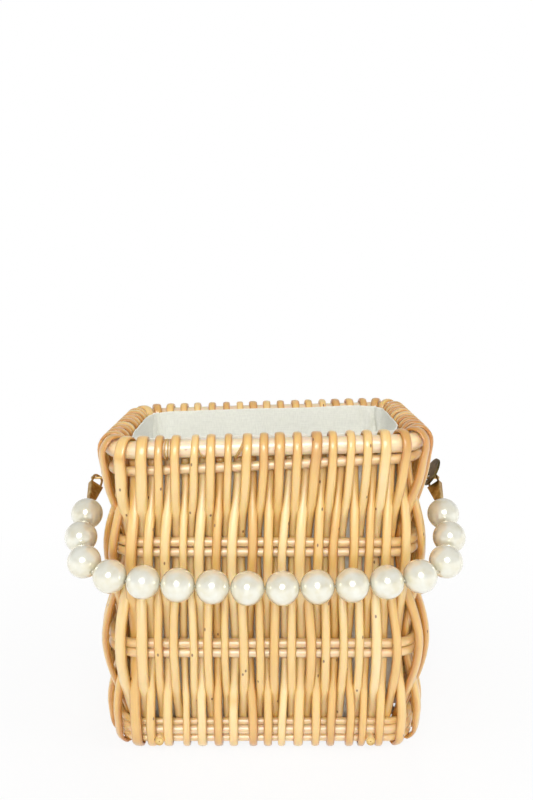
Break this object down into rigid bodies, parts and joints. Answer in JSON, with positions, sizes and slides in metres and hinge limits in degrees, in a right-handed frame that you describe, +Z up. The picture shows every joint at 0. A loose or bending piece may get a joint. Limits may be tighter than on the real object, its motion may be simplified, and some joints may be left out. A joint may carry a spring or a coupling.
{
  "type": "wicker basket handbag",
  "caption": "Small rectangular willow basket handbag with looped stakes, bent rod bands, a cotton lining and a swinging pearl bead handle.",
  "frame": {"origin": "middle of the part's box on the floor that the base stands on", "axes": "+X to the bag's right as seen from the front, +Y towards its back, +Z up"},
  "size_m": [0.2252, 0.1442, 0.1864],
  "materials": {
    "stakes": "peeled willow, satin",
    "rods": "peeled willow, satin",
    "straw": "dry straw",
    "lining": "plain woven cotton",
    "pearl": "pearl lacquer over a plastic bead",
    "cord": "twisted thread",
    "fittings": "antiqued",
    "tag": "dark bronze patina"
  },
  "bodies": {
    "basket": {"top_rail": "rods", "neck_rod": "rods", "upper_band_top": "rods", "upper_band_low": "rods", "lower_band_top": "rods", "lower_band_low": "rods", "foot_rod": "rods", "bottom_rim": "rods", "base_rod": "rods", "front_rim_stakes": "stakes", "front_base_stakes": "stakes", "right_rim_stakes": "stakes", "right_base_stakes": "stakes", "back_rim_stakes": "stakes", "back_base_stakes": "stakes", "left_rim_stakes": "stakes", "left_base_stakes": "stakes", "runner_left": "rods", "runner_right": "rods", "base_slats": "stakes", "rail_lashing": "straw", "lining": "lining", "pin_left": "fittings", "pin_right": "fittings"},
    "handle": {"bail_left": "fittings", "bail_right": "fittings", "cap_left": "fittings", "cap_right": "fittings", "pearl_01": "pearl", "pearl_02": "pearl", "pearl_03": "pearl", "pearl_04": "pearl", "pearl_05": "pearl", "pearl_06": "pearl", "pearl_07": "pearl", "pearl_08": "pearl", "pearl_09": "pearl", "pearl_10": "pearl", "pearl_11": "pearl", "pearl_12": "pearl", "pearl_13": "pearl", "pearl_14": "pearl", "pearl_15": "pearl", "pearl_16": "pearl", "strand_cord": "cord"},
    "tag": {"tag_disc": "tag"}
  },
  "joints": [
    {"name": "handle_swing", "type": "hinge", "parent": "basket", "child": "handle", "pos_m": [0, 0.00994, 0.145], "axis": [-1, 0, 0], "range_deg": [0, 236]},
    {"name": "tag_swing", "type": "hinge", "parent": "handle", "child": "tag", "pos_m": [0.1002, 0.00994, 0.145], "axis": [-1, 0, 0], "range_deg": [0, 40]}
  ]
}
